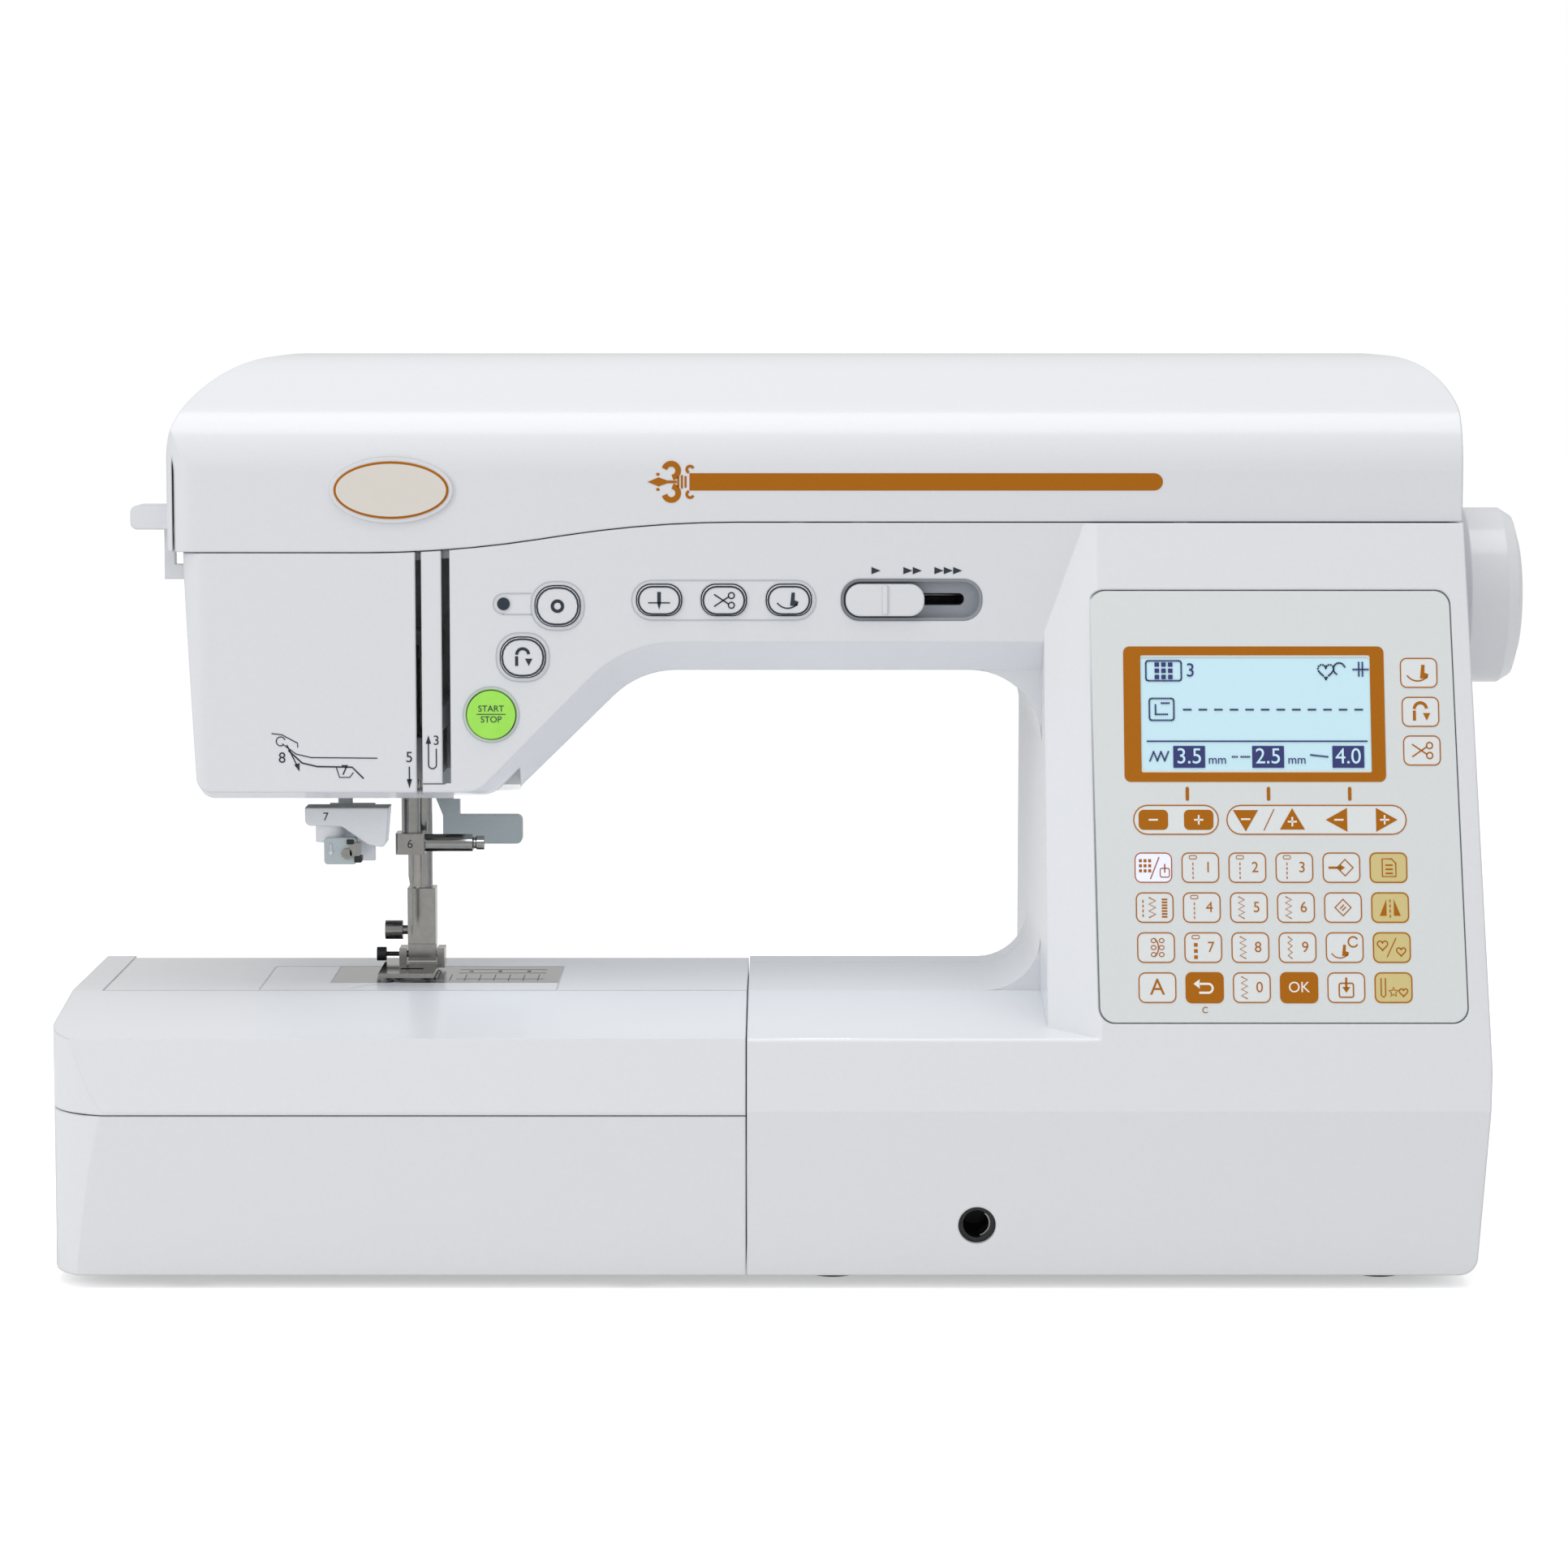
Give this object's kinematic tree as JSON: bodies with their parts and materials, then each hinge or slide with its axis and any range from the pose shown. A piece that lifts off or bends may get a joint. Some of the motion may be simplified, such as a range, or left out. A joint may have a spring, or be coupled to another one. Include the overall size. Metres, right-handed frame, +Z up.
{
  "type": "sewing machine",
  "caption": "Computerised sewing machine with hinged top lid, free arm under a slide-off table, buttons, speed slider, screen panel, handwheel and needle gear.",
  "frame": {"origin": "centre of the overall box at the floor", "axes": "+X to the handwheel, +Y to the back, +Z up"},
  "size_m": [0.49, 0.22, 0.301],
  "materials": {
    "white_abs": "gloss",
    "steel": "polished",
    "grey_abs": "satin",
    "rubber": "matte",
    "black_abs": "satin",
    "cast_aluminium": "cast",
    "board": "satin",
    "screen": "gloss",
    "lamp": "gloss",
    "green_abs": "gloss",
    "clear_cover": "gloss"
  },
  "bodies": {
    "frame": {"front_cover": "white_abs", "rear_cover": "white_abs", "face_cover": "white_abs", "thread_guide_plate": "white_abs", "lid_hinge_pins": "steel", "free_arm_cover": "white_abs", "needle_plate": "steel", "bobbin_cover": "clear_cover", "main_frame": "cast_aluminium", "threader_guide": "grey_abs", "slider_track": "grey_abs", "button_guide": "grey_abs", "control_panel": "grey_abs", "lcd_screen": "screen", "control_board": "board", "head_lamp": "lamp", "arm_lamp": "lamp", "knee_socket": "steel", "power_inlet": "black_abs", "spool_pin": "grey_abs", "spool_stand": "grey_abs", "bobbin_winder": "grey_abs", "rubber_feet": "rubber", "base_plate": "grey_abs", "power_switch": "black_abs"},
    "lid": {"lid": "white_abs"},
    "tray": {"tray": "white_abs", "tray_feet": "rubber"},
    "tray_door": {"tray_door": "white_abs", "door_hinge_pin": "steel"},
    "drive": {"main_shaft": "steel", "handwheel": "white_abs"},
    "needle_bar": {"needle_bar": "steel", "needle_clamp": "steel", "needle_clamp_screw": "steel", "needle": "steel"},
    "presser_bar": {"presser_bar": "steel", "foot_holder": "steel", "holder_screw": "steel"},
    "presser_foot": {"presser_foot": "steel", "foot_button": "black_abs"},
    "presser_lever": {"presser_lever": "grey_abs"},
    "threader_lever": {"threader_lever": "white_abs"},
    "threader_unit": {"threader_unit": "grey_abs"},
    "needle_button": {"needle_button": "white_abs"},
    "cutter_button": {"cutter_button": "white_abs"},
    "foot_lift_button": {"foot_lift_button": "white_abs"},
    "lock_stitch_button": {"lock_stitch_button": "white_abs"},
    "reverse_button": {"reverse_button": "white_abs"},
    "start_stop_button": {"start_stop_button": "green_abs"},
    "speed_slider": {"speed_slider": "white_abs"}
  },
  "joints": [
    {"name": "lid_hinge", "type": "hinge", "parent": "frame", "child": "lid", "pos_m": [0, 0.1065, 0.2504], "axis": [-1, 0, 0], "range_deg": [0, 95]},
    {"name": "tray_slide", "type": "slide", "parent": "frame", "child": "tray", "axis": [-1, 0, 0], "range_m": [0, 0.24]},
    {"name": "door_hinge", "type": "hinge", "parent": "tray", "child": "tray_door", "pos_m": [-0.13, -0.098, 0.01], "axis": [1, 0, 0], "range_deg": [0, 65]},
    {"name": "shaft_spin", "type": "hinge", "parent": "frame", "child": "drive", "pos_m": [0.1, 0.008, 0.2188], "axis": [1, 0, 0], "continuous": true},
    {"name": "needle_stroke", "type": "slide", "parent": "frame", "child": "needle_bar", "axis": [0, 0, 1], "range_m": [-0.024, 0]},
    {"name": "presser_lever_hinge", "type": "hinge", "parent": "frame", "child": "presser_lever", "pos_m": [-0.127, 0.02, 0.163], "axis": [0, -1, 0], "range_deg": [0, 18.6]},
    {"name": "presser_lift", "type": "slide", "parent": "frame", "child": "presser_bar", "axis": [0, 0, 1], "range_m": [0, 0.0059]},
    {"name": "foot_rock", "type": "hinge", "parent": "presser_bar", "child": "presser_foot", "pos_m": [-0.131, 0.004, 0.0946], "axis": [1, 0, 0], "range_deg": [-2.2, 2.2]},
    {"name": "threader_press", "type": "slide", "parent": "frame", "child": "threader_lever", "axis": [0, 0, -1], "range_m": [0, 0.05], "stiffness_N_per_m": 20},
    {"name": "threader_drop", "type": "slide", "parent": "frame", "child": "threader_unit", "axis": [0, 0, -1], "range_m": [0, 0.0252]},
    {"name": "speed_set", "type": "slide", "parent": "frame", "child": "speed_slider", "axis": [1, 0, 0], "range_m": [0, 0.0176]},
    {"name": "needle_button_press", "type": "slide", "parent": "frame", "child": "needle_button", "axis": [0, 1, 0], "range_m": [0, 0.0012], "stiffness_N_per_m": 800},
    {"name": "cutter_button_press", "type": "slide", "parent": "frame", "child": "cutter_button", "axis": [0, 1, 0], "range_m": [0, 0.0012], "stiffness_N_per_m": 800},
    {"name": "foot_lift_button_press", "type": "slide", "parent": "frame", "child": "foot_lift_button", "axis": [0, 1, 0], "range_m": [0, 0.0012], "stiffness_N_per_m": 800},
    {"name": "lock_stitch_button_press", "type": "slide", "parent": "frame", "child": "lock_stitch_button", "axis": [0, 1, 0], "range_m": [0, 0.0012], "stiffness_N_per_m": 800},
    {"name": "reverse_button_press", "type": "slide", "parent": "frame", "child": "reverse_button", "axis": [0, 1, 0], "range_m": [0, 0.0012], "stiffness_N_per_m": 800},
    {"name": "start_stop_button_press", "type": "slide", "parent": "frame", "child": "start_stop_button", "axis": [0, 1, 0], "range_m": [0, 0.0012], "stiffness_N_per_m": 800}
  ],
  "couplings": [
    {"joint": "presser_lever_hinge", "follows": "presser_lift", "rad_per_m": 52.632},
    {"joint": "threader_drop", "follows": "threader_press", "ratio": 0.5}
  ]
}
